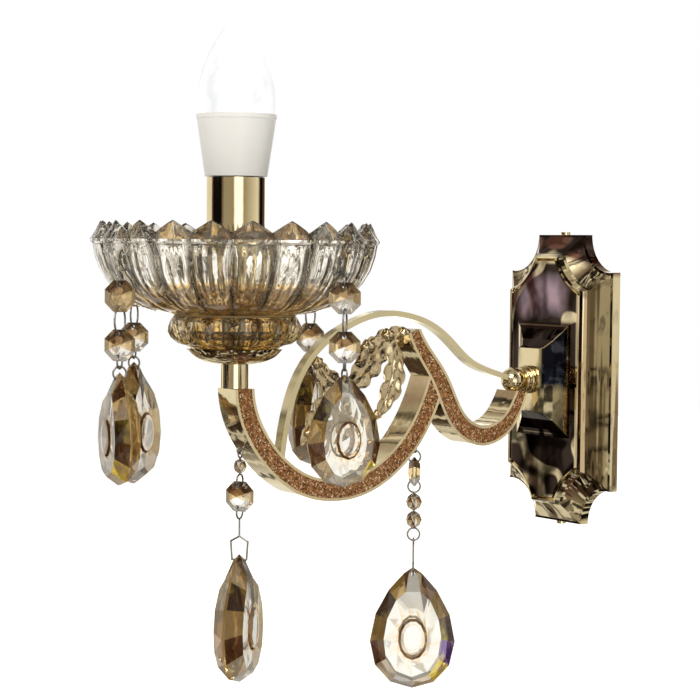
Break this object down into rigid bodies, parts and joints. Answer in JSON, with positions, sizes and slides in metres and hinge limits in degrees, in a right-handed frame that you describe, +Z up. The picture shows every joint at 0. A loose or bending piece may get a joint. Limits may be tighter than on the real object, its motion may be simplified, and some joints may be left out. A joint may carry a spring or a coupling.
{
  "type": "wall sconce",
  "caption": "Single-arm wall sconce: gilt cast plate and S-shaped arm, candle bulb on a scalloped glass dish, hung with crystal strings.",
  "frame": {"origin": "centre of the back plate's rear face, on the wall", "axes": "+Y into the wall, +Z up, the sconce stands out towards -Y; X = 0 is the plane of the arm"},
  "size_m": [0.1454, 0.2746, 0.3263],
  "materials": {
    "gold_plate": "polished plated",
    "zinc_steel": "zinc plated",
    "copper_glitter": "glitter",
    "amber_glass": "pressed, lustred",
    "clear_crystal": "cut and polished",
    "amber_crystal": "cut and polished",
    "dark_wire": "polished",
    "bulb_white": "satin",
    "bulb_glow": "translucent, lit",
    "lamp_cap": "rolled",
    "contact_brass": "plain",
    "holder_moulding": "moulded",
    "white_moulding": "moulded",
    "wire_insulation": "plain",
    "cushion_rubber": "plain"
  },
  "bodies": {
    "root": {"wall_plate": "gold_plate", "boss_collar": "gold_plate", "knuckle_ball": "gold_plate", "arm_upper": "gold_plate", "arm_lower": "gold_plate", "scroll_strap": "gold_plate", "leaf_flower": "gold_plate", "arm_eyes": "gold_plate", "post": "gold_plate", "cup_holder": "gold_plate", "candle_sleeve": "gold_plate", "wall_bracket": "zinc_steel", "plate_screws": "gold_plate", "entry_nipple": "zinc_steel", "nipple_washer": "zinc_steel", "nipple_nut": "zinc_steel", "terminal_block": "white_moulding", "terminal_screws": "zinc_steel", "supply_wires": "wire_insulation", "stem_rod": "zinc_steel", "stem_nut": "zinc_steel", "cushion_washers": "cushion_rubber", "bobeche": "amber_glass", "lower_glass_cup": "amber_glass", "lampholder_body": "holder_moulding", "holder_shell": "contact_brass", "holder_contact": "contact_brass", "inlay_upper_near": "copper_glitter", "inlay_upper_far": "copper_glitter", "inlay_lower_near": "copper_glitter", "inlay_lower_far": "copper_glitter"},
    "bulb": {"bulb_cap": "lamp_cap", "bulb_insulator": "holder_moulding", "bulb_contact": "contact_brass", "bulb_housing": "bulb_white", "led_board": "bulb_white", "bulb_diffuser": "bulb_glow"},
    "string_front": {"wires_front": "dark_wire", "beads_front": "clear_crystal"},
    "drop_front": {"pendant_front": "amber_crystal"},
    "string_left": {"wires_left": "dark_wire", "beads_left": "clear_crystal"},
    "drop_left": {"pendant_left": "amber_crystal"},
    "string_right": {"wires_right": "dark_wire", "beads_right": "clear_crystal"},
    "drop_right": {"pendant_right": "amber_crystal"},
    "string_back": {"wires_back": "dark_wire", "beads_back": "clear_crystal"},
    "drop_back": {"pendant_back": "amber_crystal"},
    "string_candle_side": {"wires_candle_side": "dark_wire", "beads_candle_side": "clear_crystal"},
    "drop_candle_side": {"pendant_candle_side": "amber_crystal"},
    "string_wall_side": {"wires_wall_side": "dark_wire", "beads_wall_side": "clear_crystal"},
    "drop_wall_side": {"pendant_wall_side": "amber_crystal"}
  },
  "joints": [
    {"name": "bulb_turn", "type": "hinge", "parent": "root", "child": "bulb", "pos_m": [0, -0.2025, 0.09], "axis": [0, 0, 1], "continuous": true},
    {"name": "swing_front", "type": "hinge", "parent": "root", "child": "string_front", "pos_m": [0.00878, -0.26751, 0.0555], "axis": [0.991, 0.1338, 0], "range_deg": [-6, 6]},
    {"name": "sway_front", "type": "hinge", "parent": "string_front", "child": "drop_front", "pos_m": [0.00878, -0.26751, 0.00717], "axis": [-0.1736, -0.9848, 0], "range_deg": [-18, 18]},
    {"name": "swing_left", "type": "hinge", "parent": "root", "child": "string_left", "pos_m": [-0.0631, -0.22044, 0.0555], "axis": [0.2735, -0.9619, 0], "range_deg": [-6, 6]},
    {"name": "sway_left", "type": "hinge", "parent": "string_left", "child": "drop_left", "pos_m": [-0.0631, -0.22044, 0.00717], "axis": [0.866, 0.5, 0], "range_deg": [-18, 18]},
    {"name": "swing_right", "type": "hinge", "parent": "root", "child": "string_right", "pos_m": [0.0631, -0.18456, 0.0555], "axis": [-0.2735, 0.9619, 0], "range_deg": [-6, 6]},
    {"name": "sway_right", "type": "hinge", "parent": "string_right", "child": "drop_right", "pos_m": [0.0631, -0.18456, 0.00717], "axis": [0.9781, -0.2079, 0], "range_deg": [-18, 18]},
    {"name": "swing_back", "type": "hinge", "parent": "root", "child": "string_back", "pos_m": [-0.02674, -0.1426, 0.0555], "axis": [-0.9132, -0.4076, 0], "range_deg": [-6, 6]},
    {"name": "sway_back", "type": "hinge", "parent": "string_back", "child": "drop_back", "pos_m": [-0.02674, -0.1426, 0.00717], "axis": [0.866, 0.5, 0], "range_deg": [-18, 18]},
    {"name": "swing_candle_side", "type": "hinge", "parent": "root", "child": "string_candle_side", "pos_m": [0, -0.1992, -0.02875], "axis": [1, 0, 0], "range_deg": [-15, 15]},
    {"name": "sway_candle_side", "type": "hinge", "parent": "string_candle_side", "child": "drop_candle_side", "pos_m": [0, -0.1992, -0.07928], "axis": [0.788, 0.6157, 0], "range_deg": [-18, 18]},
    {"name": "swing_wall_side", "type": "hinge", "parent": "root", "child": "string_wall_side", "pos_m": [0, -0.0981, -0.03105], "axis": [1, 0, 0], "range_deg": [-15, 15]},
    {"name": "sway_wall_side", "type": "hinge", "parent": "string_wall_side", "child": "drop_wall_side", "pos_m": [0, -0.0981, -0.09387], "axis": [0.8192, -0.5736, 0], "range_deg": [-18, 18]}
  ]
}
